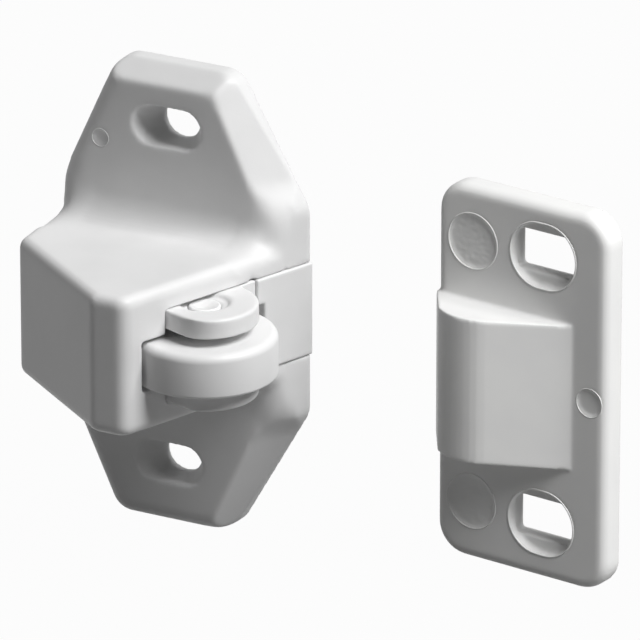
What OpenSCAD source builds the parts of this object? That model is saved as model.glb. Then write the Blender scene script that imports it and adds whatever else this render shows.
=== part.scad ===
// Roller catch with its separate strike plate, in moulded plastic.
// The catch screws to a vertical panel at Y = 0 and stands forward of it, towards -Y.
// X runs to the roller side and Z up. The origin is midway between the catch's screw slots.

/* [Mounting plate] */
// Overall height of the six-sided mounting plate
plate_h = 51.5; // [47:0.5:60]
// Drop of the middles of this plate and the strike plate below the middles of their screw slots
plate_drop = 0.3; // [0:0.05:0.5]
// Width of the plate's front face between its upright sides
plate_w = 26.6; // [26:0.2:32]
// Width of the plate at its top and bottom ends
plate_end_w = 13.4; // [12:0.2:16]
// Height of the upright part of the plate's sides
plate_side_h = 23.2; // [20:0.2:26]
// Thickness of the plate
plate_t = 4.5; // [3.8:0.1:6]
// Radius of the plate's corners, seen from the front
plate_corner_r = 2.6; // [2:0.1:4]
// Rounding of the plate's front edge
plate_edge_r = 1.8; // [0.6:0.1:2]

/* [Block] */
// Lean of the roller face from square to the mounting plane, in degrees
face_angle = 19; // [16:0.5:22]
// Length of the roller face from the roller's pocket to the nose
nose_wall_t = 2.5; // [2:0.25:5]
// Width of the blunt nose
nose_w = 3.9; // [3:0.1:5]
// Turn of the nose from the mounting plane, in degrees
nose_turn = 0; // [0:1:16]
// Rounding of the nose's upright edge on the roller side
nose_r = 1.7; // [1.4:0.1:3]
// Depth of the block at its far side
side_depth = 14.2; // [13.6:0.1:16]
// Step of the block's far front edge in from the plate's side
side_inset = 0.9; // [0.4:0.1:1.4]
// Wall of the block above and below the channel
block_wall_t = 2.6; // [2:0.1:3.2]
// Rounding of the block's top and bottom edges
block_edge_r = 1.1; // [0.5:0.1:1.3]
// Radius of the hollow blend between the block and the plate
blend_r = 2.9; // [1.5:0.1:3.2]

/* [Screw slots] */
// Distance of each screw slot from the plate's end, before the drop
screw_end = 6.75; // [5.5:0.05:7.5]
// Radius of the round screw hole at the mounting plane
screw_r = 2.25; // [1.8:0.05:2.5]
// Depth of the round hole before it opens into a slot
screw_land = 1.1; // [0.8:0.1:1.6]
// Length of the slot at the front of the plate
slot_len = 7.5; // [6.5:0.1:8.5]
// Distance of the ejector mark on the upper tab from the middle, to the left
mark_left = 8; // [7:0.1:8.4]
// Distance of that ejector mark from the plate's top end
mark_down = 8.9; // [8.4:0.1:10]
// Radius of that ejector mark
mark_r = 0.9; // [0.6:0.1:1.1]
// Depth of all ejector marks
mark_depth = 0.2; // [0.1:0.05:0.4]

/* [Channel] */
// Depth of the channel from the roller face
channel_depth = 17.5; // [17:0.1:18]
// Thickness of the wall behind the spring
spring_wall_t = 1.8; // [1.4:0.1:2]
// Thickness of the housing's outer walls round the hollow at its back
core_wall_t = 2; // [1.6:0.1:2.4]

/* [Roller] */
// Radius of the roller
roller_r = 7.7; // [7.2:0.05:8]
// Thickness of the roller
roller_t = 4.8; // [4.4:0.1:5]
// Distance of the roller's axis out of the roller face
roller_out = 0.7; // [0.4:0.05:1]
// Distance of the roller's axis along the roller face from the mounting plane
roller_along = 15.65; // [14:0.05:17]
// Play of the roller under the upper ear
roller_play = 1; // [0.4:0.1:1.4]
// Rounding of the roller's top rim
roller_top_r = 0.9; // [0.3:0.1:1.2]
// Rounding of the roller's bottom rim
roller_bottom_r = 0.35; // [0.2:0.05:0.8]

/* [Fork] */
// Radius of the fork's round ears
ear_r = 5.65; // [5:0.05:6]
// Distance of the fork's front side from the roller's axis, where the ears are cut flat
fork_side = 4.65; // [4.4:0.05:5.4]
// Thickness of each ear
ear_t = 2.1; // [1.8:0.05:2.2]
// Thickness of the web that joins the ears behind the roller
web_t = 2.4; // [2:0.1:2.6]
// Reach of the stop lugs beyond the fork's side
lug_reach = 0.8; // [0.5:0.05:0.9]
// Length of the stop lugs along the slide
lug_len = 2; // [1.5:0.1:2.4]
// Travel of the fork into the housing
fork_travel = 4; // [3:0.1:4.1]
// Radius of the peg that holds the spring
spring_peg_r = 2; // [1.6:0.1:2.2]
// Length of the peg that holds the spring
spring_peg_len = 1.8; // [1:0.1:2.4]

/* [Axle] */
// Radius of the roller's axle
axle_r = 1.7; // [1.2:0.05:1.8]
// Radius of the recess round the axle's end in each ear
axle_recess_r = 2.6; // [2.2:0.1:3]
// Depth of the recess round the axle's end
axle_recess_depth = 0.5; // [0.3:0.05:0.8]

/* [Spring] */
// Diameter of the spring's wire
wire_d = 0.5; // [0.4:0.05:0.6]
// Radius of the spring to the middle of its wire
spring_r = 2.9; // [2.8:0.1:3.4]
// Number of turns
spring_turns = 5; // [4:1:5]

/* [Rear cover] */
// Step of the cover's side beyond the roller face
cover_proud = 0.25; // [0.1:0.05:0.4]
// Radius of the snap beads on the cover's top and bottom
bead_r = 0.35; // [0.2:0.05:0.4]
// Length of the snap beads
bead_len = 9; // [6:0.5:11]
// Distance of the snap beads behind the cover's front
bead_inset = 1.25; // [1:0.05:1.5]
// Distance of the cover's front behind the roller's rim
cover_clear = 0.2; // [0.1:0.05:0.5]
// Step in the cover's front that clears the roller
cover_relief = 1; // [0.6:0.1:1.4]

/* [Strike plate] */
// Height of the strike plate
strike_h = 42.1; // [41:0.1:46]
// Width of the strike plate
strike_w = 21.7; // [21:0.1:24]
// Thickness of the strike plate
strike_t = 2.8; // [2.6:0.1:4]
// Radius of the strike plate's corners
strike_corner_r = 3.4; // [2.5:0.1:4]
// Rounding of the strike plate's front edge
strike_edge_r = 1.1; // [0.5:0.1:1.4]
// Distance of each screw slot from the strike plate's end, before the drop
strike_slot_end = 6.05; // [5.2:0.05:6.6]
// Distance of the screw slots from the strike plate's right edge
strike_slot_edge = 8.2; // [7.6:0.1:8.6]
// Radius of the ends of the recess for a screw head
recess_r = 3.75; // [3.5:0.05:3.9]
// Length of the straight part of the recess for a screw head
recess_flat = 1.2; // [0.6:0.1:1.6]
// Depth of the recess for a screw head
recess_depth = 0.9; // [0.6:0.1:1.4]
// Width of the slot through the recess
strike_slot_w = 8; // [7:0.1:8.2]
// Height of the slot through the recess
strike_slot_h = 4.5; // [4:0.1:4.8]

/* [Wedge] */
// Height of the wedge's crest above the plate's front face
wedge_rise = 4.9; // [4.4:0.1:5.4]
// Width of the plate to the right of the wedge's ramp
wedge_margin = 4.3; // [3.6:0.1:5]
// Height of the wedge, up the plate
wedge_h = 16.2; // [15:0.2:17]
// Radius of the crest
wedge_crest_r = 6; // [5:0.2:7]
// Distance of the crest from the steep foot
wedge_crest_x = 6.4; // [5.8:0.1:7]
// Radius of the nose between the steep side and the crest
wedge_nose_r = 1.3; // [0.8:0.1:1.8]
// Turn round the crest at which the nose starts, in degrees
wedge_nose_turn = 34; // [30:1:38]
// Wall of the wedge round the hollow at the strike plate's back
wedge_wall_t = 1.8; // [1.5:0.1:2]

/* [Strike ejector marks] */
// Radius of the two large ejector marks
big_mark_r = 3; // [2.4:0.1:3.4]
// Distance of the large marks from the left edge
big_mark_x = 4.6; // [4.2:0.1:5]
// Distance of each large mark from the strike plate's end, before the drop
big_mark_end = 6.35; // [6:0.05:6.8]
// Radius of the small mark at the right edge
small_mark_r = 1.5; // [1:0.1:1.7]
// Distance of the small mark from the right edge
small_mark_edge = 2.2; // [2:0.1:2.6]

/* [Layout] */
// Distance of the strike plate's middle to the right of the catch's middle
strike_across = 39.3; // [36:0.1:60]
// Distance of the strike plate's back behind the mounting plane
strike_behind = 4.4; // [0:0.2:8]
// Turn of the strike plate away from the catch's front, in degrees
strike_turn = 7.5; // [0:0.5:10]

/* [Hidden] */
$fn = 64;

// Fits
slide_gap = 0.15;
cover_gap = 0.08;
running_gap = 0.08;
axle_gap = 0.02;
roller_gap = 0.4;
side_play = 0.1;
overrun = 1;
sunk = 0.3;

// The roller sinks to the lower ear, so the gap between the ears is not centred on it
fork_h = 2 * ear_t + side_play + roller_t + roller_play;
channel_h = fork_h + 2 * slide_gap;
block_h = channel_h + 2 * block_wall_t;
ears_low = -fork_h / 2 + ear_t;
ears_high = fork_h / 2 - ear_t;
roller_low = ears_low + side_play;
roller_high = roller_low + roller_t;
pocket_low = roller_low - roller_gap;
pocket_high = roller_high + roller_gap;

// Distances along the roller face from the mounting plane
cover_front = roller_along - roller_r - cover_clear;
channel_front = roller_along + fork_side + slide_gap;
pocket_front = roller_along + roller_r + roller_gap;
face_len = pocket_front + nose_wall_t;

// Places on the plate and on the strike plate
screw_pitch = plate_h - 2 * screw_end;
strike_pitch = strike_h - 2 * strike_slot_end;
strike_slot_x = strike_w - strike_slot_edge;
wedge_w = strike_w - wedge_margin;

// Corner of the roller face on the mounting plane, where the face's own frame stands
face_x = plate_w / 2 + plate_t * tan(face_angle);
along_face = [-sin(face_angle), -cos(face_angle)];
nose_point = [face_x, 0] + face_len * along_face;
nose_side = nose_point + nose_w * [-cos(nose_turn), sin(nose_turn)];
side_point = [side_inset - plate_w / 2, -side_depth];
block_half = block_h / 2;

// The fork, measured from the roller face into the housing
web_front = roller_r - roller_out + roller_gap;
web_back = web_front + web_t;
fork_front_y = slide_gap - channel_front;
fork_back_y = -cover_front - slide_gap;
spring_y = (fork_front_y + fork_back_y) / 2;
pocket_depth = web_front + fork_travel + roller_gap;
lug_stop = web_back - lug_len - side_play;
lug_run = web_back + fork_travel + slide_gap;
bead_x = -channel_depth / 2;
spring_rest = channel_depth - web_back;

// Corner of an outline moved in by r from both of its sides
function unit(v) = v / norm(v);
function inner(a, p, b, r) =
    let (u = unit(a - p), v = unit(b - p), half = acos(u * v) / 2)
    p + unit(u + v) * r / sin(half);
function inner_all(pts, r) =
    let (n = len(pts))
    [for (i = [0:n - 1]) inner(pts[(i + n - 1) % n], pts[i], pts[(i + 1) % n], r)];
function arc(c, r, a, b, steps) =
    [for (i = [0:steps]) c + r * [cos(a + (b - a) * i / steps), sin(a + (b - a) * i / steps)]];

// Round disc along Z from zero to h with its far rim rounded
module domed_disc(r, h, e) {
    rotate_extrude($fn = 32)
        polygon(concat([[0, 0], [r, 0]], arc([r - e, h - e], e, 0, 90, 4), [[0, h]]));
}

// Round post centred on Z with both rims rounded
module post(r, h, e) {
    half = h / 2;
    rotate_extrude($fn = 32)
        polygon(concat([[0, -half]], arc([r - e, e - half], e, -90, 0, 4),
                       arc([r - e, half - e], e, 0, 90, 4), [[0, half]]));
}

// Stands a flat drawing upright: its X stays, its Y goes up and its Z comes forward
module upright() {
    rotate([90, 0, 0]) children();
}

// Frame of the roller face: X out of the face, Y back along it, Z up
module at_face() {
    translate([face_x, 0, 0]) rotate([0, 0, -face_angle]) children();
}

// Place on the strike plate's back: X from its left edge, Y up, Z forward
module at_strike() {
    translate([strike_across, strike_behind, (strike_h - plate_h) / 2])
        rotate([0, 0, -strike_turn])
            upright()
                translate([-strike_w / 2, 0, 0]) children();
}

// Six corners of the plate, with the sides at the given distances left and right
function plate_corners(left, right) = [
    [-plate_end_w / 2, plate_h / 2], [plate_end_w / 2, plate_h / 2],
    [right, plate_side_h / 2], [right, -plate_side_h / 2],
    [plate_end_w / 2, -plate_h / 2], [-plate_end_w / 2, -plate_h / 2],
    [-left, -plate_side_h / 2], [-left, plate_side_h / 2]];

module plate() {
    front_right = face_x - ((plate_t - plate_edge_r) * sin(face_angle) + plate_edge_r) / cos(face_angle)
        + plate_edge_r;
    translate([0, 0, -plate_drop]) hull() upright() {
        for (c = inner_all(plate_corners(plate_w / 2, front_right), plate_corner_r))
            translate(c) domed_disc(plate_corner_r, plate_t, plate_edge_r);
        for (c = inner_all(plate_corners(plate_w / 2, face_x), plate_corner_r))
            translate(c) cylinder(r = plate_corner_r, h = plate_t / 10, $fn = 32);
    }
}

// Outline of the block from above, from the plate's far front edge round to the mounting plane
block_outline = [side_point, nose_side, nose_point, [face_x, 0], [-plate_w / 2, 0], [-plate_w / 2, -plate_t]];

module block() {
    back_y = block_edge_r - plate_t;
    hull() {
        for (i = [0, 1])
            translate(inner_all(block_outline, block_edge_r)[i]) post(block_edge_r, block_h, block_edge_r);
        translate(inner(nose_side, nose_point, [face_x, 0], nose_r))
            rotate([0, 0, -face_angle]) post(nose_r, block_h, block_edge_r);
        translate([block_edge_r - plate_w / 2, back_y, 0]) post(block_edge_r, block_h, block_edge_r);
        translate([face_x + back_y * tan(face_angle) - block_edge_r / cos(face_angle), back_y, 0])
            rotate([0, 0, -face_angle]) post(block_edge_r, block_h, block_edge_r);
    }
}

// Hollow blend between the plate's front and the block's top, ending where the side edges start to round
module blend() {
    slope = side_inset / (side_depth - plate_t);
    foot_y = -plate_t;
    top_y = -plate_t - blend_r;
    far = function (y) -plate_w / 2 - (y + plate_t) * slope;
    near = function (y) face_x + y * tan(face_angle);
    intersection() {
        translate([-plate_w, 0, 0]) rotate([90, 0, 90])
            linear_extrude(2 * plate_w)
                difference() {
                    translate([top_y, block_half - sunk]) square(blend_r + sunk);
                    translate([top_y, block_half + blend_r]) circle(blend_r);
                }
        linear_extrude(plate_h)
            polygon([
                [far(foot_y) + plate_edge_r, foot_y + sunk], [far(foot_y) + plate_edge_r, foot_y],
                [far(top_y) + block_edge_r, top_y], [near(top_y) - block_edge_r, top_y],
                [near(foot_y) - plate_edge_r, foot_y], [near(foot_y) - plate_edge_r, foot_y + sunk]]);
    }
}

// Screw hole that is round at the mounting plane and widens to a slot at the front
module screw_slot() {
    slot_run = (slot_len / 2 - screw_r) * (plate_t - screw_land + overrun) / (plate_t - screw_land);
    translate([0, 0, -overrun]) cylinder(r = screw_r, h = plate_t + 2 * overrun);
    hull() {
        translate([0, 0, screw_land]) cylinder(r = screw_r, h = plate_t + overrun - screw_land, $fn = 32);
        for (side = [-1, 1])
            translate([side * slot_run, 0, plate_t])
                cylinder(r = screw_r, h = overrun, $fn = 32);
    }
}

// Hollow at the back of the block's thick side, which keeps its walls even
module core() {
    left = side_point[0] + core_wall_t;
    tip = inner([-plate_w / 2, -plate_t], side_point, nose_side, core_wall_t);
    front = nose_side + (tip - side_point);
    intersection() {
        translate([0, 0, core_wall_t - block_half])
            linear_extrude(block_h - 2 * core_wall_t)
                polygon([[left, overrun], [front[0], overrun], front, tip]);
        at_face() translate([-channel_depth - spring_wall_t - plate_w, -face_len, -block_h])
            cube([plate_w, 2 * face_len, 2 * block_h]);
    }
}

module channel() {
    at_face() {
        translate([-channel_depth, -channel_front, -channel_h / 2])
            cube([channel_depth + overrun, channel_front + face_len, channel_h]);
        translate([-pocket_depth, -pocket_front, pocket_low])
            cube([pocket_depth + overrun, pocket_front - cover_front, pocket_high - pocket_low]);
        for (z = [-channel_h / 2, pocket_high])
            translate([-lug_run, fork_front_y - lug_reach - slide_gap, z])
                cube([lug_run - lug_stop, channel_front, (z < 0 ? pocket_low : channel_h / 2) - z]);
        for (side = [-1, 1])
            translate([bead_x, bead_inset - cover_front, side * channel_h / 2])
                rotate([0, 90, 0]) cylinder(r = bead_r + cover_gap, h = bead_len, center = true);
    }
}

module housing() {
    color("whitesmoke")
        difference() {
            union() {
                plate();
                block();
                blend();
                mirror([0, 0, 1]) blend();
            }
            channel();
            core();
            upright() {
                for (side = [-1, 1])
                    translate([0, side * screw_pitch / 2, 0]) screw_slot();
                translate([-mark_left, plate_h / 2 - plate_drop - mark_down, plate_t - mark_depth])
                    cylinder(r = mark_r, h = overrun);
            }
        }
}

// Wedge-shaped cover that closes the channel from the back and keeps the fork square
module rear_cover() {
    cover_h = channel_h - 2 * cover_gap;
    inner_x = cover_gap - channel_depth;
    color("white")
        at_face() {
            difference() {
                translate([0, 0, -cover_h / 2])
                    linear_extrude(cover_h)
                        polygon([[cover_proud, -cover_front], [cover_proud, cover_proud * tan(face_angle)],
                                 [inner_x, inner_x * tan(face_angle)], [inner_x, -cover_front]]);
                translate([-pocket_depth, -cover_front - overrun, pocket_low])
                    cube([pocket_depth + overrun, overrun + cover_relief, pocket_high - pocket_low]);
            }
            for (side = [-1, 1])
                translate([bead_x, bead_inset - cover_front, side * cover_h / 2])
                    rotate([0, 90, 0]) cylinder(r = bead_r, h = bead_len - cover_gap, center = true);
        }
}

// One ear of the fork with its arm, lug and axle hole, from height low to height high
module ear(low, high, lug_low, lug_high) {
    difference() {
        union() {
            translate([-web_back, fork_front_y, low])
                cube([web_back, fork_back_y - fork_front_y, high - low]);
            intersection() {
                translate([roller_out, -roller_along, low]) cylinder(r = ear_r, h = high - low);
                translate([-web_back, fork_front_y, low]) cube([2 * web_back, channel_front, high - low]);
            }
            translate([-web_back, fork_front_y - lug_reach, lug_low])
                cube([lug_len, 2 * lug_reach, lug_high - lug_low]);
        }
        translate([roller_out, -roller_along, low - overrun])
            cylinder(r = axle_r + axle_gap, h = high - low + 2 * overrun);
        translate([roller_out, -roller_along, low < 0 ? low - overrun : high - axle_recess_depth])
            cylinder(r = axle_recess_r, h = axle_recess_depth + overrun);
    }
}

module fork() {
    color("gainsboro")
        at_face() {
            ear(ears_high, fork_h / 2, pocket_high + slide_gap, fork_h / 2);
            ear(-fork_h / 2, ears_low, -fork_h / 2, pocket_low - slide_gap);
            translate([-web_back, fork_front_y, -fork_h / 2])
                cube([web_t, fork_back_y - fork_front_y, fork_h]);
            translate([-web_back - spring_peg_len, spring_y, 0])
                rotate([0, 90, 0]) cylinder(r = spring_peg_r, h = spring_peg_len + web_t / 2);
        }
}

module roller() {
    bore = axle_r + running_gap;
    color("white")
        at_face() translate([roller_out, -roller_along, 0])
            rotate_extrude($fn = 96)
                polygon(concat([[bore, roller_low]],
                    arc([roller_r - roller_bottom_r, roller_low + roller_bottom_r], roller_bottom_r, -90, 0, 3),
                    arc([roller_r - roller_top_r, roller_high - roller_top_r], roller_top_r, 0, 90, 6),
                    [[bore, roller_high]]));
}

// Plain pin with both ends staked to a low dome inside the ears' recesses
module roller_axle() {
    half = fork_h / 2 - side_play;
    dome = axle_recess_depth / 2;
    color("whitesmoke")
        at_face() translate([roller_out, -roller_along, 0])
            rotate_extrude()
                polygon(concat([[0, -half]], arc([axle_r - dome, dome - half], dome, -90, 0, 3),
                               arc([axle_r - dome, half - dome], dome, 0, 90, 3), [[0, half]]));
}

// Compression spring between the fork's web and the end of the channel
rings = 8 * spring_turns;
function spring_mid(i) = [
    -web_back - wire_d / 2 - (spring_rest - wire_d) * i / rings,
    spring_r * cos(45 * i), spring_r * sin(45 * i)];
function spring_ring(i) =
    let (out = [0, cos(45 * i), sin(45 * i)],
         ahead = unit(spring_mid(i + 1) - spring_mid(i - 1)),
         side = cross(ahead, out))
    [for (k = [0:5]) spring_mid(i) + wire_d / 2 * (cos(60 * k) * out + sin(60 * k) * side)];
spring_gap = min([for (i = [0:rings]) for (k = [i + 5:rings]) norm(spring_mid(i) - spring_mid(k))]) - wire_d;
echo(spring_gap = spring_gap);

module fork_spring() {
    last = 6 * rings;
    color("silver")
        at_face() translate([0, spring_y, 0])
            polyhedron(
                points = [for (i = [0:rings]) each spring_ring(i)],
                faces = concat(
                    [for (i = [0:rings - 1]) for (k = [0:5]) [6 * i + k, 6 * i + 6 + k, 6 * i + (k + 1) % 6]],
                    [for (i = [0:rings - 1]) for (k = [0:5])
                        [6 * i + (k + 1) % 6, 6 * i + 6 + k, 6 * i + 6 + (k + 1) % 6]],
                    [for (k = [1:4]) [0, k, k + 1]],
                    [for (k = [1:4]) [last, last + k + 1, last + k]]));
}

// Section of the wedge from its steep foot at the left, standing base below the plate's front
function wedge_section(base) =
    let (crest = [wedge_crest_x, wedge_rise - wedge_crest_r],
         start = 90 + wedge_nose_turn,
         nose = crest + (wedge_crest_r - wedge_nose_r) * [cos(start), sin(start)],
         steep = atan2(nose[1], nose[0]) + asin(wedge_nose_r / norm(nose)),
         foot = [wedge_w, 0] - crest,
         ramp = asin(wedge_crest_r / norm(foot)) - atan2(foot[1], foot[0]))
    concat([[0, -base], [0, 0]], arc(nose, wedge_nose_r, steep + 90, start, 5),
           arc(crest, wedge_crest_r, start, 90 - ramp, 8), [[wedge_w, 0], [wedge_w, -base]]);

module wedge_solid(low, high) {
    translate([0, high, strike_t]) rotate([90, 0, 0]) linear_extrude(high - low) children();
}

module strike_plate() {
    low_end = -strike_h / 2 - plate_drop;
    high_end = strike_h / 2 - plate_drop;
    corners = [[0, low_end], [strike_w, low_end], [strike_w, high_end], [0, high_end]];
    hollow_half = wedge_h / 2 - wedge_wall_t;
    recess_side = recess_flat / 2;
    color("whitesmoke")
        at_strike()
            difference() {
                union() {
                    hull()
                        for (c = inner_all(corners, strike_corner_r))
                            translate(c) domed_disc(strike_corner_r, strike_t, strike_edge_r);
                    wedge_solid(-wedge_h / 2, wedge_h / 2) polygon(wedge_section(strike_t / 2));
                }
                wedge_solid(-hollow_half, hollow_half)
                    offset(delta = -wedge_wall_t) polygon(wedge_section(strike_t + 2 * wedge_wall_t));
                for (side = [-1, 1])
                    translate([strike_slot_x, side * strike_pitch / 2, 0]) {
                        for (end = [-1, 1])
                            translate([end * recess_side, 0, strike_t - recess_depth])
                                cylinder(r = recess_r, h = recess_depth + overrun);
                        translate([-recess_side, -recess_r, strike_t - recess_depth])
                            cube([2 * recess_side, 2 * recess_r, recess_depth + overrun]);
                        translate([-strike_slot_w / 2, -strike_slot_h / 2, -overrun])
                            cube([strike_slot_w, strike_slot_h, strike_t - recess_depth + 2 * overrun]);
                    }
                for (side = [-1, 1])
                    translate([big_mark_x, side * (strike_h / 2 - big_mark_end), strike_t - mark_depth])
                        cylinder(r = big_mark_r, h = overrun);
                translate([strike_w - small_mark_edge, 0, strike_t - mark_depth]) cylinder(r = small_mark_r, h = overrun);
            }
}

housing();
rear_cover();
fork();
roller();
roller_axle();
fork_spring();
strike_plate();
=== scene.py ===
"""Roller catch with its strike plate, both moulded in white plastic, as a product picture.

Sizes are written in millimetres and placed in metres. The catch stands on its lower tab, and its
mounting plane is Y = 0. The roller side is towards +X and the front towards -Y.
"""

from math import cos, pi, radians, sin, tan
from random import Random

import bmesh
import bpy
from mathutils import Matrix, Vector


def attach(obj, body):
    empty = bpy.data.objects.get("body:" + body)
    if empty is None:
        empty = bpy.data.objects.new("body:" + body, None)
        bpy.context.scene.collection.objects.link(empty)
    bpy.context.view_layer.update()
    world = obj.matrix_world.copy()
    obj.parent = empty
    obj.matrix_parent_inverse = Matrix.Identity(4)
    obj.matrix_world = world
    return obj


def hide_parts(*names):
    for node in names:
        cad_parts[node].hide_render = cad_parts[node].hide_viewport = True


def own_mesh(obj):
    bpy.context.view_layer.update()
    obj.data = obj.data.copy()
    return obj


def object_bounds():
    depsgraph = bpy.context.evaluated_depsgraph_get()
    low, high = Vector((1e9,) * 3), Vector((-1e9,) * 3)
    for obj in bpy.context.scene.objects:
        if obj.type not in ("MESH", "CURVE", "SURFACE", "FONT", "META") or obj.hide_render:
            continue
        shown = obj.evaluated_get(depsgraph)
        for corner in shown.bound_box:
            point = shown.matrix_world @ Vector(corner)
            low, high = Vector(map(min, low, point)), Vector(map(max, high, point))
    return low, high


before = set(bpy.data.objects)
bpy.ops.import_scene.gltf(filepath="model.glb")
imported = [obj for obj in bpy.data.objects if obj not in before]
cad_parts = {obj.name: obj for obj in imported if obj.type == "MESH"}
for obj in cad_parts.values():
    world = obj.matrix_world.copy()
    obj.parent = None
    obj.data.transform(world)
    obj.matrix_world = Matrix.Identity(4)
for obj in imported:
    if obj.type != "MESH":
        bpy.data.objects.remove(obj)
cad_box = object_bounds()
MM = 0.001

# Sizes shared with the part's source: the housing
FACE_LEAN = radians(19)
PLATE_W = 26.6
PLATE_T = 4.5
PLATE_TOP = 25.45
TAB_MARK_LEFT = 8
TAB_MARK_DOWN = 8.9
TAB_MARK_R = 0.9
# The roller: its axis in the frame of the roller face, its bore and the roundings of its rims
ROLLER_OUT = 0.7
ROLLER_ALONG = 15.65
ROLLER_BORE = 1.78
ROLLER_R = 7.7
ROLLER_LOW = -2.85
ROLLER_HIGH = 1.95
RIM_LOW_R = 0.35
RIM_HIGH_R = 0.9
BORE_RIM_R = 0.2
# Half of the fork's height, and the axle
FORK_HALF = 5.05
AXLE_R = 1.7
# The spring, from the fork to the end of its channel, measured from the roller face
SPRING_R = 2.9
WIRE_R = 0.25
SPRING_TURNS = 5
SPRING_START = 9.8
SPRING_END = 17.5
SPRING_ALONG = 14.1
# The strike plate, its place, and its screw recesses and round marks from its left edge and middle
STRIKE_W = 21.7
STRIKE_T = 2.8
STRIKE_AT = (39.3, 4.4, -4.7)
STRIKE_TURN = radians(7.5)
RECESS_X, RECESS_Y = 13.5, 15
BIG_MARK_X, BIG_MARK_Y, BIG_MARK_R = 4.6, 14.7, 3.0
SMALL_MARK_X, SMALL_MARK_R = 19.5, 1.5
MARK_DEPTH = 0.2

# Stands a flat drawing upright: its X stays, its Y goes up and its Z comes forward
upright = Matrix.Rotation(pi / 2, 4, "X")
# Place of the roller face: X out of it, Y back along it, Z up
FACE_X = PLATE_W / 2 + PLATE_T * tan(FACE_LEAN)
face_place = Matrix.Translation((FACE_X, 0, 0)) @ Matrix.Rotation(-FACE_LEAN, 4, "Z")
roller_middle = Vector((ROLLER_OUT, -ROLLER_ALONG, 0))
# Place on the strike plate's back: X from its left edge, Y up, Z forward
strike_place = (
    Matrix.Translation(STRIKE_AT)
    @ Matrix.Rotation(-STRIKE_TURN, 4, "Z")
    @ upright
    @ Matrix.Translation((-STRIKE_W / 2, 0, 0))
)
to_metres = Matrix.Scale(MM, 4)


# Shaping


def as_mesh(name, bm):
    """The bmesh's shape as a new mesh."""
    mesh = bpy.data.meshes.new(name)
    bm.to_mesh(mesh)
    bm.free()
    return mesh


def placed(name, data):
    """A new object in the scene that holds a mesh, a lamp or a lens."""
    thing = bpy.data.objects.new(name, data)
    bpy.context.scene.collection.objects.link(thing)
    return thing


def finished(name, bm, body, node):
    """The shaped piece in metres, shaded smooth, riding on its body in place of its plain solid."""
    bmesh.ops.transform(bm, matrix=to_metres, verts=bm.verts)
    mesh = as_mesh(name, bm)
    mesh.polygons.foreach_set("use_smooth", [True] * len(mesh.polygons))
    piece = placed(name, mesh)
    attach(piece, body)
    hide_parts(node)
    return piece


def even_skin(node, place, cell, grow=(1, 1, 1), fills=None, cuts=None):
    """A copy of a plain solid in its own frame, in millimetres, covered with even small faces.

    It can grow a little to fill its clearance, and rounds can be filled and cut in it anew, finer.
    """
    bm = bmesh.new()
    bm.from_mesh(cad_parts[node].data)
    bmesh.ops.remove_doubles(bm, verts=bm.verts, dist=1e-7)
    bmesh.ops.transform(bm, matrix=(to_metres @ place).inverted(), verts=bm.verts)
    centre = sum((v.co for v in bm.verts), Vector()) / len(bm.verts)
    centre.z = 0
    bmesh.ops.scale(bm, vec=grow, space=Matrix.Translation(-centre), verts=bm.verts)
    blank = placed("blank", as_mesh("blank", bm))
    tools = []
    for solids, operation in ((fills, "UNION"), (cuts, "DIFFERENCE")):
        if solids:
            tool = placed("rounds", solids)
            boolean = blank.modifiers.new("rounds", "BOOLEAN")
            boolean.operation = operation
            boolean.object = tool
            tools.append(tool)
    remesh = blank.modifiers.new("even", "REMESH")
    remesh.mode = "VOXEL"
    remesh.voxel_size = cell
    graph = bpy.context.evaluated_depsgraph_get()
    skin = bmesh.new()
    skin.from_mesh(bpy.data.meshes.new_from_object(blank.evaluated_get(graph)))
    for used in [blank] + tools:
        bpy.data.objects.remove(used)
    return skin


def worn(bm, rounds, where=None):
    """Edges softened as a moulding's are, all over or only at the points that where picks."""
    points = [v for v in bm.verts if where is None or where(v.co)]
    for _ in range(rounds):
        bmesh.ops.smooth_vert(
            bm, verts=points, factor=0.5, use_axis_x=True, use_axis_y=True, use_axis_z=True
        )


def soft_moulding(name, node, body, place, cell, rounds, local=(), bend=None, rims=None, **skin):
    """A plain solid's own form with a moulding's soft edges, softer still at the local places.

    Each point first goes where bend puts it, and raised rims are laid on at the end. The skin's
    other settings are those of even_skin.
    """
    bm = even_skin(node, place, cell, **skin)
    if bend:
        for v in bm.verts:
            v.co = bend(v.co)
    for where, more in local:
        worn(bm, more, where)
    worn(bm, rounds)
    if rims:
        bm.from_mesh(rims)
    bmesh.ops.transform(bm, matrix=place, verts=bm.verts)
    return finished(name, bm, body, node)


def spun(bm, geometry, steps):
    """Sweeps geometry one full turn round the Z axis."""
    bmesh.ops.spin(
        bm,
        geom=geometry,
        cent=(0, 0, 0),
        axis=(0, 0, 1),
        angle=2 * pi,
        steps=steps,
        use_merge=True,
    )


def turned(name, node, body, outline, steps):
    """A piece turned on the roller's axis from an outline of (radius, height) points."""
    bm = bmesh.new()
    points = [bm.verts.new((r, 0, z)) for r, z in outline]
    edges = [bm.edges.new(pair) for pair in zip(points, points[1:])]
    spun(bm, points + edges, steps)
    bmesh.ops.remove_doubles(bm, verts=bm.verts, dist=0.001)
    bmesh.ops.recalc_face_normals(bm, faces=bm.faces)
    bmesh.ops.translate(bm, vec=face_place @ roller_middle, verts=bm.verts)
    return finished(name, bm, body, node)


def rounding(x, z, r, start, end, steps):
    """Points on an outline's arc round (x, z), from one angle to the other in degrees."""
    turns = [radians(start + (end - start) * i / steps) for i in range(steps + 1)]
    return [(x + r * cos(a), z + r * sin(a)) for a in turns]


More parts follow.
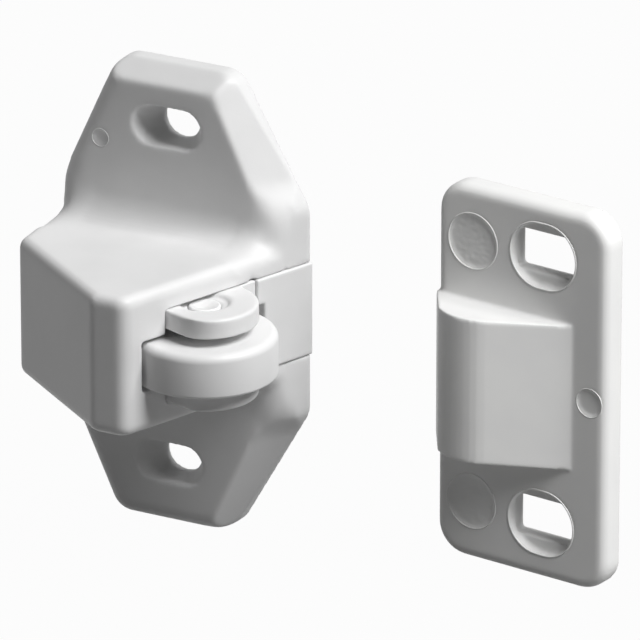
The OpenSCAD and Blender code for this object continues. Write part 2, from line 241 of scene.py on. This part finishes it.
def near_line(a, b, reach):
    """Picks the points of a piece in the roller face's frame that lie within reach of a line.

    The line's ends a and b are given in the part's own frame.
    """
    a, b = (face_place.inverted() @ Vector(end) for end in (a, b))
    along = b - a

    def where(p):
        t = max(0.0, min(1.0, (p - a).dot(along) / along.length_squared))
        return (p - a - along * t).length < reach

    return where


# Round recesses and marks are given as their middle, radius, straight part along X and depth

# A fine line stands round each: its radius, and how much that grows with the round's own
LINE_R, LINE_GROWTH = 0.02, 0.022
# How far its middle is outside the round's edge and under the front
LINE_OUT, LINE_SUNK = 0.1, 0.02


def stretched(bm, verts, centre, flat):
    """Pulls a round apart along X into one with a straight part, and moves it to its centre."""
    for v in verts:
        if abs(v.co.x) > 0.001:
            v.co.x += flat / 2 if v.co.x > 0 else -flat / 2
    bmesh.ops.translate(bm, vec=centre, verts=verts)


def plugs(rounds, top):
    """Solids that fill round recesses in the strike plate's front, up to a height."""
    bm = bmesh.new()
    for centre, r, flat, depth in rounds:
        bottom = STRIKE_T - depth
        lift = Matrix.Translation((0, 0, (bottom + top) / 2))
        disc = bmesh.ops.create_cone(
            bm, cap_ends=True, segments=120, radius1=r, radius2=r, depth=top - bottom, matrix=lift
        )
        stretched(bm, disc["verts"], centre, flat)
    return as_mesh("plugs", bm)


def raised_rims(rounds, front, place=None):
    """The fine raised line that a mould leaves round each recess in a front."""
    bm = bmesh.new()
    for centre, r, flat, _ in rounds:
        others = set(bm.verts)
        thick = LINE_R + LINE_GROWTH * r
        ring = bmesh.ops.create_circle(bm, segments=8, radius=thick, matrix=upright)["verts"]
        bmesh.ops.translate(bm, vec=(r + LINE_OUT, 0, front - LINE_SUNK), verts=ring)
        spun(bm, ring + [e for e in bm.edges if e.verts[0] in ring], steps=96)
        stretched(bm, [v for v in bm.verts if v not in others], centre, flat)
    if place:
        bmesh.ops.transform(bm, matrix=place, verts=bm.verts)
    bmesh.ops.recalc_face_normals(bm, faces=bm.faces)
    return as_mesh("rims", bm)


# Housing and cover

# Each end of the hollow blend between block and plate: X of its foot on the plate and of its top
BLEND_SIDES = ((11.5, 11.2), (-11.5, -11.9))
BLEND_FOOT_Z = 10.7
BLEND_TOP_Y, BLEND_TOP_Z = -7.4, 7.8
# Stretches of the plate's front edge: X and Z of both ends
PLATE_RUNS = (
    (6.4, 24.6, 12.9, 11.2),
    (12.9, 11.2, 12.9, 8.5),
    (6.4, -25.2, 12.9, -11.8),
    (12.9, -11.8, 12.9, -8.5),
    (-6.4, 24.6, 6.4, 24.6),
    (12.2, 14.0, 12.9, 9.5),
    (12.2, -14.6, 12.9, -9.5),
)
# How far from those lines the housing is worn softer, and in how many rounds
BLEND_REACH, BLEND_ROUNDS = 2.8, 60
RUN_REACH, RUN_ROUNDS = 2.6, 12
worn_places = [
    (
        near_line(
            (foot, -PLATE_T, side * BLEND_FOOT_Z),
            (top, BLEND_TOP_Y, side * BLEND_TOP_Z),
            BLEND_REACH,
        ),
        BLEND_ROUNDS,
    )
    for side in (-1, 1)
    for foot, top in BLEND_SIDES
] + [
    (near_line((x_a, -PLATE_T, z_a), (x_b, -PLATE_T, z_b), RUN_REACH), RUN_ROUNDS)
    for x_a, z_a, x_b, z_b in PLATE_RUNS
]

# The plate's front edges on the side that shows: a point of each and the way out of the plate
PLATE_EDGES = (
    (Vector((PLATE_W / 2, -PLATE_T, 11.3)), Vector((0.906, 0, 0.423))),
    (Vector((PLATE_W / 2, -PLATE_T, -11.9)), Vector((0.906, 0, -0.423))),
    (Vector((PLATE_W / 2, -PLATE_T, 0)), Vector((1, 0, 0))),
    (Vector((0, -PLATE_T, PLATE_TOP)), Vector((0, 0, 1))),
)
# The bevel faces this much out of the plate and this much forward
BEVEL_OUT, BEVEL_FRONT = 0.8, 0.6
# How much of the square corner the solid's own round takes off, and the full bevel
ROUND_CUT = 0.72
BEVEL_CUT = 1.5
# Height above and below the middle where the bevel starts, and over how much it grows to the full
BEVEL_FROM, BEVEL_FADE = 10.8, 4
# How far the skin can stand off the solid
SKIN_SLACK = 0.02


def plate_bevel(p):
    """The plate's front edge is flatter than a round, fading in beyond the block's blends."""
    q = face_place @ p
    if q.y < -PLATE_T - SKIN_SLACK or q.y > 0 or abs(q.z) < BEVEL_FROM:
        return p
    t = min(1.0, (abs(q.z) - BEVEL_FROM) / BEVEL_FADE)
    cut = ROUND_CUT + (BEVEL_CUT - ROUND_CUT) * t * t * (3 - 2 * t)
    for start, out in PLATE_EDGES:
        slope = out * BEVEL_OUT - Vector((0, BEVEL_FRONT, 0))
        over = (q - start).dot(slope) + cut
        if over > 0:
            q = q - slope * over
    return face_place.inverted() @ q


tab_mark = (
    face_place.inverted()
    @ Matrix.Translation((-TAB_MARK_LEFT, -PLATE_T, PLATE_TOP - TAB_MARK_DOWN))
    @ upright
)
housing = soft_moulding(
    "housing_moulding",
    "housing",
    "catch",
    face_place,
    cell=0.25,
    rounds=2,
    local=worn_places,
    bend=plate_bevel,
    rims=raised_rims([((0, 0, 0), TAB_MARK_R, 0, MARK_DEPTH)], 0, tab_mark),
)
cover = soft_moulding(
    "cover_insert", "rear_cover", "catch", face_place, cell=0.15, rounds=1, grow=(1, 1, 1.01)
)


# Fork

# Where the ears are worn softer: on their ends out to a radius, and at their rims beyond one
EAR_END_Z, EAR_END_R = 4.2, 3.3
EAR_RIM_Z, EAR_RIM_R, EAR_RIM_X = 4.3, 4.2, 0.4
# Middle and radius of the corner where an ear's round rim is cut flat, and where it starts
EAR_CORNER = Vector((2.22, -16.3))
EAR_CORNER_R = 4.0
EAR_CORNER_FROM = -17.9


def off_axle(p):
    """Distance of a point from the roller's axis, in the frame of the roller face."""
    return (p - roller_middle).xy.length


def ear_end(p):
    """The top and bottom of the fork's ears round the axle."""
    return abs(p.z) > EAR_END_Z and off_axle(p) < EAR_END_R


def ear_rim(p):
    """The outer edge of the fork's ears."""
    return p.x > EAR_RIM_X and abs(p.z) > EAR_RIM_Z and off_axle(p) > EAR_RIM_R


def ear_round(p):
    """The corner where an ear's round rim is cut flat runs out in a wide radius."""
    out = p.xy - EAR_CORNER
    if p.x > EAR_CORNER.x and p.y < EAR_CORNER_FROM and out.length > EAR_CORNER_R:
        rim = EAR_CORNER + out.normalized() * EAR_CORNER_R
        return Vector((rim.x, rim.y, p.z))
    return p


fork = soft_moulding(
    "fork_slide",
    "fork",
    "fork",
    face_place,
    cell=0.12,
    rounds=1,
    local=[(ear_end, 24), (ear_rim, 16)],
    bend=ear_round,
    grow=(1, 1.01, 1.02),
)


# Strike plate

# The solid's screw recesses are filled to just under the front, then cut again a little smaller:
# radius, straight part and depth
RECESS_FILL = (3.9, 1.2, 0.88)
RECESS_CUT = (3.55, 1.0, 0.9)
FILL_SHORT = 0.01
CUT_OVER = 2
recess_fills = [((RECESS_X, side * RECESS_Y, 0), *RECESS_FILL) for side in (-1, 1)]
round_cuts = (
    [((RECESS_X, side * RECESS_Y, 0), *RECESS_CUT) for side in (-1, 1)]
    + [((BIG_MARK_X, side * BIG_MARK_Y, 0), BIG_MARK_R, 0, MARK_DEPTH) for side in (-1, 1)]
    + [((SMALL_MARK_X, 0, 0), SMALL_MARK_R, 0, MARK_DEPTH)]
)
# How far the floor of a large mark rises and falls, and the even band inside the mark's wall
ROUGHNESS = 0.07
EVEN_BAND = 0.2
chance = Random(5)


def rough_floor(p):
    """The two large round marks have a rough floor, as the ends of the mould's pins leave it."""
    centre = Vector((BIG_MARK_X, BIG_MARK_Y if p.y > 0 else -BIG_MARK_Y))
    floor = STRIKE_T - MARK_DEPTH
    if abs(p.z - floor) < MARK_DEPTH / 2 and (p.xy - centre).length < BIG_MARK_R - EVEN_BAND:
        return Vector((p.x, p.y, p.z + chance.uniform(-ROUGHNESS, ROUGHNESS)))
    return p


strike = soft_moulding(
    "strike_moulding",
    "strike_plate",
    "catch",
    strike_place,
    cell=0.18,
    rounds=2,
    bend=rough_floor,
    rims=raised_rims(round_cuts, STRIKE_T),
    fills=plugs(recess_fills, STRIKE_T - FILL_SHORT),
    cuts=plugs(round_cuts, STRIKE_T + CUT_OVER),
)


# Roller and axle

roller = turned(
    "roller_wheel",
    "roller",
    "roller",
    [(ROLLER_BORE, ROLLER_HIGH - BORE_RIM_R), (ROLLER_BORE, ROLLER_LOW + BORE_RIM_R)]
    + rounding(ROLLER_BORE + BORE_RIM_R, ROLLER_LOW + BORE_RIM_R, BORE_RIM_R, 180, 270, 3)
    + rounding(ROLLER_R - RIM_LOW_R, ROLLER_LOW + RIM_LOW_R, RIM_LOW_R, -90, 0, 5)
    + rounding(ROLLER_R - RIM_HIGH_R, ROLLER_HIGH - RIM_HIGH_R, RIM_HIGH_R, 0, 90, 8)
    + rounding(ROLLER_BORE + BORE_RIM_R, ROLLER_HIGH - BORE_RIM_R, BORE_RIM_R, 90, 180, 3),
    steps=160,
)

# The axle's ends are dished: radius of each point and its depth under the ear's outer side
DISH = ((0, 0.62), (0.5, 0.58), (1.0, 0.42))
# Rounding of the rim round the dish, and the depth of its middle
AXLE_RIM_R = 0.2
AXLE_RIM_DEPTH = 0.5
axle = turned(
    "axle_pin",
    "roller_axle",
    "fork",
    [(r, depth - FORK_HALF) for r, depth in DISH]
    + rounding(AXLE_R - AXLE_RIM_R, AXLE_RIM_DEPTH - FORK_HALF, AXLE_RIM_R, -110, 0, 5)
    + rounding(AXLE_R - AXLE_RIM_R, FORK_HALF - AXLE_RIM_DEPTH, AXLE_RIM_R, 0, 110, 5)
    + [(r, FORK_HALF - depth) for r, depth in reversed(DISH)],
    steps=64,
)


# Spring

# Steps to a turn
COIL_STEPS = 32


def coil_spring():
    """The spring's wire wound round its line from the fork to the end of the channel."""
    coil = bmesh.new()
    wire = bmesh.ops.create_circle(
        coil,
        cap_ends=True,
        segments=12,
        radius=WIRE_R,
        matrix=Matrix.Translation((0, SPRING_R, 0)) @ upright @ Matrix.Rotation(pi / 2, 4, "Y"),
    )
    steps = COIL_STEPS * SPRING_TURNS
    run = SPRING_START + WIRE_R - (SPRING_END - WIRE_R)
    bmesh.ops.spin(
        coil,
        geom=wire["verts"] + list(coil.edges) + list(coil.faces),
        cent=(0, 0, 0),
        axis=(1, 0, 0),
        dvec=(run / steps, 0, 0),
        angle=2 * pi * SPRING_TURNS,
        steps=steps,
    )
    bmesh.ops.remove_doubles(coil, verts=coil.verts, dist=0.001)
    bmesh.ops.recalc_face_normals(coil, faces=coil.faces)
    start = (-SPRING_START - WIRE_R, -SPRING_ALONG, 0)
    bmesh.ops.translate(coil, vec=start, verts=coil.verts)
    bmesh.ops.transform(coil, matrix=face_place, verts=coil.verts)
    return finished("coil_spring", coil, "catch", "fork_spring")


# It is 7.7 long at rest and 3.7 with the fork pressed in, and its far end stays in its seat
spring = coil_spring()
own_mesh(spring)


# Finishes

# How many grains and mottles there are to a metre, about
PLASTIC_GRAIN, PLASTIC_MOTTLE = 2500.0, 160.0
STEEL_GRAIN, STEEL_MOTTLE = 6000.0, 900.0
# How much higher the mottle is than the grain
MOTTLE_HEIGHT = 2.5


def moulded_grain():
    """Fine unevenness of a surface: a soft mottle, and a height that adds a close grain to it."""
    group = bpy.data.node_groups.new("moulded_grain", "ShaderNodeTree")
    for name, value in (("Grain size", PLASTIC_GRAIN), ("Mottle size", PLASTIC_MOTTLE)):
        socket = group.interface.new_socket(name, in_out="INPUT", socket_type="NodeSocketFloat")
        socket.default_value = value
    for name in ("Mottle", "Height"):
        group.interface.new_socket(name, in_out="OUTPUT", socket_type="NodeSocketFloat")
    nodes, links = group.nodes, group.links
    entry = nodes.new("NodeGroupInput")
    leave = nodes.new("NodeGroupOutput")
    place = nodes.new("ShaderNodeTexCoord")
    grain = nodes.new("ShaderNodeTexNoise")
    grain.inputs["Detail"].default_value = 3
    mottle = nodes.new("ShaderNodeTexNoise")
    mottle.inputs["Detail"].default_value = 2
    for texture, size in ((grain, "Grain size"), (mottle, "Mottle size")):
        links.new(place.outputs["Object"], texture.inputs["Vector"])
        links.new(entry.outputs[size], texture.inputs["Scale"])
    mix = nodes.new("ShaderNodeMath")
    mix.operation = "MULTIPLY_ADD"
    mix.inputs[1].default_value = MOTTLE_HEIGHT
    links.new(mottle.outputs["Fac"], mix.inputs[0])
    links.new(grain.outputs["Fac"], mix.inputs[2])
    links.new(mottle.outputs["Fac"], leave.inputs["Mottle"])
    links.new(mix.outputs["Value"], leave.inputs["Height"])
    return group


GRAIN = moulded_grain()


def mottled(name, colours, tint_span, gloss_range, gloss_span, grain, mottle):
    """A new material whose colour and gloss drift a little over the piece, with its skin node.

    The spans say between which values of the mottle the colours and the roughness change.
    """
    material = bpy.data.materials.new(name)
    material.use_nodes = True
    nodes, links = material.node_tree.nodes, material.node_tree.links
    shader = nodes["Principled BSDF"]
    skin = nodes.new("ShaderNodeGroup")
    skin.node_tree = GRAIN
    skin.inputs["Grain size"].default_value = grain
    skin.inputs["Mottle size"].default_value = mottle
    tint = nodes.new("ShaderNodeValToRGB")
    for stop, position, colour in zip(tint.color_ramp.elements, tint_span, colours):
        stop.position = position
        stop.color = (*colour, 1)
    gloss = nodes.new("ShaderNodeMapRange")
    gloss.inputs["From Min"].default_value, gloss.inputs["From Max"].default_value = gloss_span
    gloss.inputs["To Min"].default_value, gloss.inputs["To Max"].default_value = gloss_range
    links.new(skin.outputs["Mottle"], tint.inputs["Fac"])
    links.new(skin.outputs["Mottle"], gloss.inputs["Value"])
    links.new(tint.outputs["Color"], shader.inputs["Base Color"])
    links.new(gloss.outputs["Result"], shader.inputs["Roughness"])
    return material, skin


def white_plastic(name, dark, light, rough, depth):
    """Matt white plastic with a fine grain that is depth high."""
    material, skin = mottled(
        name,
        (dark, light),
        tint_span=(0.35, 0.65),
        gloss_range=(rough - 0.04, rough + 0.04),
        gloss_span=(0.3, 0.7),
        grain=PLASTIC_GRAIN,
        mottle=PLASTIC_MOTTLE,
    )
    nodes, links = material.node_tree.nodes, material.node_tree.links
    shader = nodes["Principled BSDF"]
    shader.inputs["IOR"].default_value = 1.49
    bump = nodes.new("ShaderNodeBump")
    bump.inputs["Distance"].default_value = depth * MM
    bump.inputs["Strength"].default_value = 1.0
    links.new(skin.outputs["Height"], bump.inputs["Height"])
    links.new(bump.outputs["Normal"], shader.inputs["Normal"])
    return material


def spring_steel():
    """Bright drawn wire whose shade and polish vary along it."""
    material, _ = mottled(
        "spring_steel",
        ((0.42, 0.42, 0.43), (0.62, 0.62, 0.63)),
        tint_span=(0, 1),
        gloss_range=(0.22, 0.42),
        gloss_span=(0, 1),
        grain=STEEL_GRAIN,
        mottle=STEEL_MOTTLE,
    )
    material.node_tree.nodes["Principled BSDF"].inputs["Metallic"].default_value = 1.0
    return material


body_white = white_plastic("body_white", (0.77, 0.77, 0.77), (0.80, 0.80, 0.80), 0.5, 0.004)
strike_white = white_plastic("strike_white", (0.77, 0.77, 0.765), (0.80, 0.80, 0.79), 0.5, 0.004)
wheel_white = white_plastic("wheel_white", (0.80, 0.80, 0.80), (0.82, 0.82, 0.82), 0.45, 0.002)
for piece, material in (
    (housing, body_white),
    (cover, body_white),
    (strike, strike_white),
    (fork, wheel_white),
    (roller, wheel_white),
    (axle, wheel_white),
    (spring, spring_steel()),
):
    piece.data.materials.append(material)


# Studio

WHITE = (1, 1, 1, 1)
# Light from all sides
AIR_LIGHT = 0.01
# The table's own shade, how white it looks where it is seen, and half of its width in metres
TABLE_SHADE = 0.1
TABLE_GLOW = 0.97
TABLE_HALF = 1.2
# The middle of the picture, the camera's place and its lens
LOOK_AT = Vector((15.95, -0.04, -1.17)) * MM
CAMERA_AT = Vector((459.4, -816.5, 368.54)) * MM
FOCAL_LENGTH = 534
# Where the key lamps point: into the block, and to the left edge of the strike plate's back
BLOCK_AIM = Vector((0, -10, 0)) * MM
STRIKE_AIM = strike_place.to_translation() * MM


def seen_directly(tree):
    """One for what the camera sees, also by reflection or through glass, and zero for the light."""
    path = tree.nodes.new("ShaderNodeLightPath")
    seen = tree.nodes.new("ShaderNodeMath")
    seen.operation = "MAXIMUM"
    through = tree.nodes.new("ShaderNodeMath")
    through.operation = "MAXIMUM"
    tree.links.new(path.outputs["Is Camera Ray"], seen.inputs[0])
    tree.links.new(path.outputs["Is Glossy Ray"], seen.inputs[1])
    tree.links.new(seen.outputs[0], through.inputs[0])
    tree.links.new(path.outputs["Is Transmission Ray"], through.inputs[1])
    return through.outputs[0]


def blended(tree, share, first, second, output):
    """Puts a mix of two shaders out as the tree's surface, with a share of the second."""
    mix = tree.nodes.new("ShaderNodeMixShader")
    tree.links.new(share, mix.inputs["Fac"])
    tree.links.new(first.outputs[0], mix.inputs[1])
    tree.links.new(second.outputs[0], mix.inputs[2])
    tree.links.new(mix.outputs[0], tree.nodes[output].inputs["Surface"])


def studio_air():
    """A world that hardly lights the pieces and is white paper where it is seen."""
    world = bpy.data.worlds.new("studio")
    world.use_nodes = True
    sky = world.node_tree
    air = sky.nodes["Background"]
    paper = sky.nodes.new("ShaderNodeBackground")
    for background, strength in ((air, AIR_LIGHT), (paper, 1.0)):
        background.inputs["Color"].default_value = WHITE
        background.inputs["Strength"].default_value = strength
    blended(sky, seen_directly(sky), air, paper, "World Output")
    return world


def table_paint():
    """Matt for the light and almost white where it is seen, so that a faint shadow stays."""
    paint = bpy.data.materials.new("table_white")
    paint.use_nodes = True
    tree = paint.node_tree
    matt = tree.nodes["Principled BSDF"]
    matt.inputs["Base Color"].default_value = (TABLE_SHADE, TABLE_SHADE, TABLE_SHADE, 1)
    matt.inputs["Roughness"].default_value = 0.7
    glow = tree.nodes.new("ShaderNodeEmission")
    glow.inputs["Strength"].default_value = 1.0
    share = tree.nodes.new("ShaderNodeMath")
    share.operation = "MULTIPLY"
    share.inputs[1].default_value = TABLE_GLOW
    tree.links.new(seen_directly(tree), share.inputs[0])
    blended(tree, share.outputs[0], matt, glow, "Material Output")
    return paint


def studio_table(height):
    """The table that the catch stands on."""
    ground = bmesh.new()
    bmesh.ops.create_grid(ground, x_segments=1, y_segments=1, size=TABLE_HALF)
    bmesh.ops.translate(ground, vec=(0, 0, height), verts=ground.verts)
    table = placed("table", as_mesh("table", ground))
    table.data.materials.append(table_paint())
    return table


def softbox(name, target, direction, distance, size, power, pieces=()):
    """Square lamp facing a point, for all or only for the given pieces, with sizes in metres."""
    lamp = bpy.data.lights.new(name, "AREA")
    lamp.shape = "SQUARE"
    lamp.size = size
    lamp.energy = power
    holder = placed(name, lamp)
    away = Vector(direction).normalized()
    holder.location = target + away * distance
    holder.rotation_euler = away.to_track_quat("Z", "Y").to_euler()
    if pieces:
        lit = bpy.data.collections.new(name)
        for piece in pieces:
            lit.objects.link(piece)
        holder.light_linking.receiver_collection = lit


scene = bpy.context.scene
scene.view_settings.view_transform = "Standard"
scene.world = studio_air()
table = studio_table(cad_box[0][2])

# The catch and the strike plate have a key lamp each, at nearly the same place
catch_pieces = (housing, cover, fork, roller, axle, spring, table)
softbox(
    "catch_box",
    BLOCK_AIM,
    (0.62, -0.02, 0.77),
    distance=0.8,
    size=0.4,
    power=7.7,
    pieces=catch_pieces,
)
softbox(
    "strike_box",
    STRIKE_AIM,
    (0.63, -0.16, 0.76),
    distance=0.8,
    size=0.4,
    power=9.8,
    pieces=(strike,),
)
softbox("left_fill", LOOK_AT, (-0.95, -0.1, 0.25), distance=1.2, size=0.8, power=1.6)

lens = bpy.data.cameras.new("camera")
lens.sensor_width = 36
lens.lens = FOCAL_LENGTH
lens.clip_end = 10
camera = placed("camera", lens)
camera.location = CAMERA_AT
camera.rotation_euler = (CAMERA_AT - LOOK_AT).to_track_quat("Z", "Y").to_euler()
scene.camera = camera
